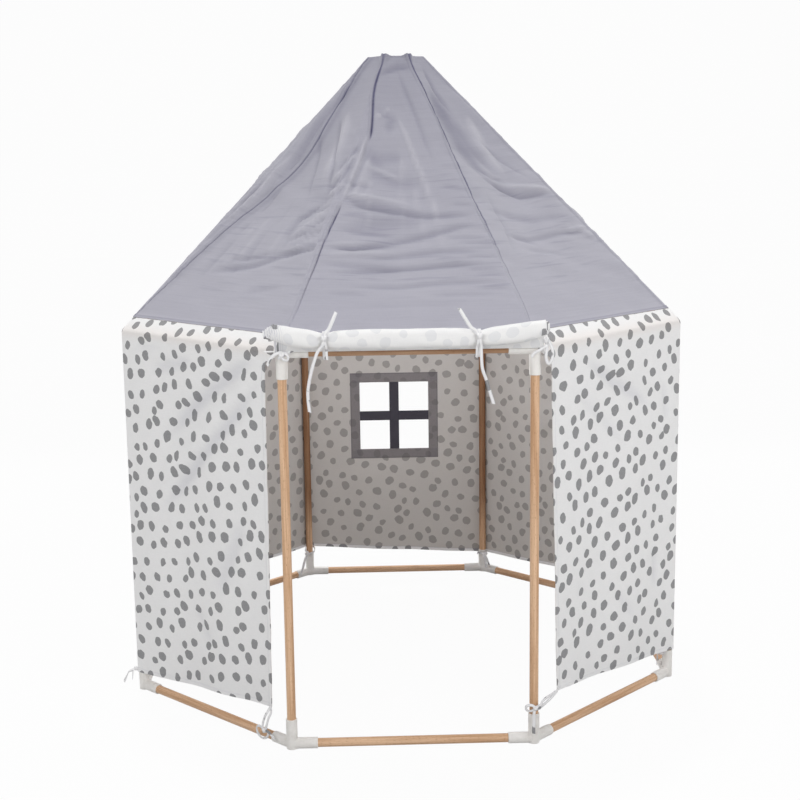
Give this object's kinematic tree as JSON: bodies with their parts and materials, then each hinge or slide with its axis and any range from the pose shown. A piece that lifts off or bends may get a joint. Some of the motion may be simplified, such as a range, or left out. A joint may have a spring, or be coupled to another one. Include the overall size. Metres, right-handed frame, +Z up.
{
  "type": "play tent",
  "caption": "Octagonal pavilion play tent of wooden rods in plastic corner connectors, with a sewn fabric cover, a window in the back wall and a roll-up door.",
  "frame": {"origin": "floor level at the centre of the tent's footprint box, the rolled-up door included", "axes": "+Z up along the posts, -Y out of the door, +X to the right when looking in through the door"},
  "size_m": [1.4814, 1.521, 1.7064],
  "materials": {
    "beech_wood": "smooth turned beech with a thin clear oil",
    "white_plastic": "moulded off-white plastic, satin",
    "grey_cloth": "plain woven polyester cotton, grey with a faint lavender cast",
    "dotted_cloth": "plain woven polyester cotton, off-white with irregular grey dots printed on the outside",
    "window_cloth": "thin dark grey woven strip"
  },
  "bodies": {
    "root": {"base_corner_front_left": "white_plastic", "base_corner_left_front": "white_plastic", "base_corner_left_back": "white_plastic", "base_corner_back_left": "white_plastic", "base_corner_back_right": "white_plastic", "base_corner_right_back": "white_plastic", "base_corner_right_front": "white_plastic", "base_corner_front_right": "white_plastic", "eave_corner_front_left": "white_plastic", "eave_corner_left_front": "white_plastic", "eave_corner_left_back": "white_plastic", "eave_corner_back_left": "white_plastic", "eave_corner_back_right": "white_plastic", "eave_corner_right_back": "white_plastic", "eave_corner_right_front": "white_plastic", "eave_corner_front_right": "white_plastic", "roof_hub": "white_plastic", "base_rail_front_left": "beech_wood", "base_rail_left": "beech_wood", "base_rail_back_left": "beech_wood", "base_rail_back": "beech_wood", "base_rail_back_right": "beech_wood", "base_rail_right": "beech_wood", "base_rail_front_right": "beech_wood", "base_rail_front": "beech_wood", "eave_rail_front_left": "beech_wood", "eave_rail_left": "beech_wood", "eave_rail_back_left": "beech_wood", "eave_rail_back": "beech_wood", "eave_rail_back_right": "beech_wood", "eave_rail_right": "beech_wood", "eave_rail_front_right": "beech_wood", "eave_rail_front": "beech_wood", "post_front_left": "beech_wood", "post_left_front": "beech_wood", "post_left_back": "beech_wood", "post_back_left": "beech_wood", "post_back_right": "beech_wood", "post_right_back": "beech_wood", "post_right_front": "beech_wood", "post_front_right": "beech_wood", "roof_pole_front_left": "beech_wood", "roof_pole_left_front": "beech_wood", "roof_pole_left_back": "beech_wood", "roof_pole_back_left": "beech_wood", "roof_pole_back_right": "beech_wood", "roof_pole_right_back": "beech_wood", "roof_pole_right_front": "beech_wood", "roof_pole_front_right": "beech_wood", "roof_cover": "grey_cloth", "wall_left": "dotted_cloth", "wall_back": "dotted_cloth", "wall_right": "dotted_cloth", "door_header": "dotted_cloth", "door_sheet": "dotted_cloth", "door_tie_left": "dotted_cloth", "door_tie_right": "dotted_cloth", "window_trim": "window_cloth", "window_bars": "window_cloth"},
    "door_roll": {"door_roll": "dotted_cloth"}
  },
  "joints": [
    {"name": "door_unroll", "type": "slide", "parent": "root", "child": "door_roll", "axis": [0, 0, -1], "range_m": [0, 0.92], "deforming": ["door_sheet", "door_tie_left", "door_tie_right"]}
  ]
}
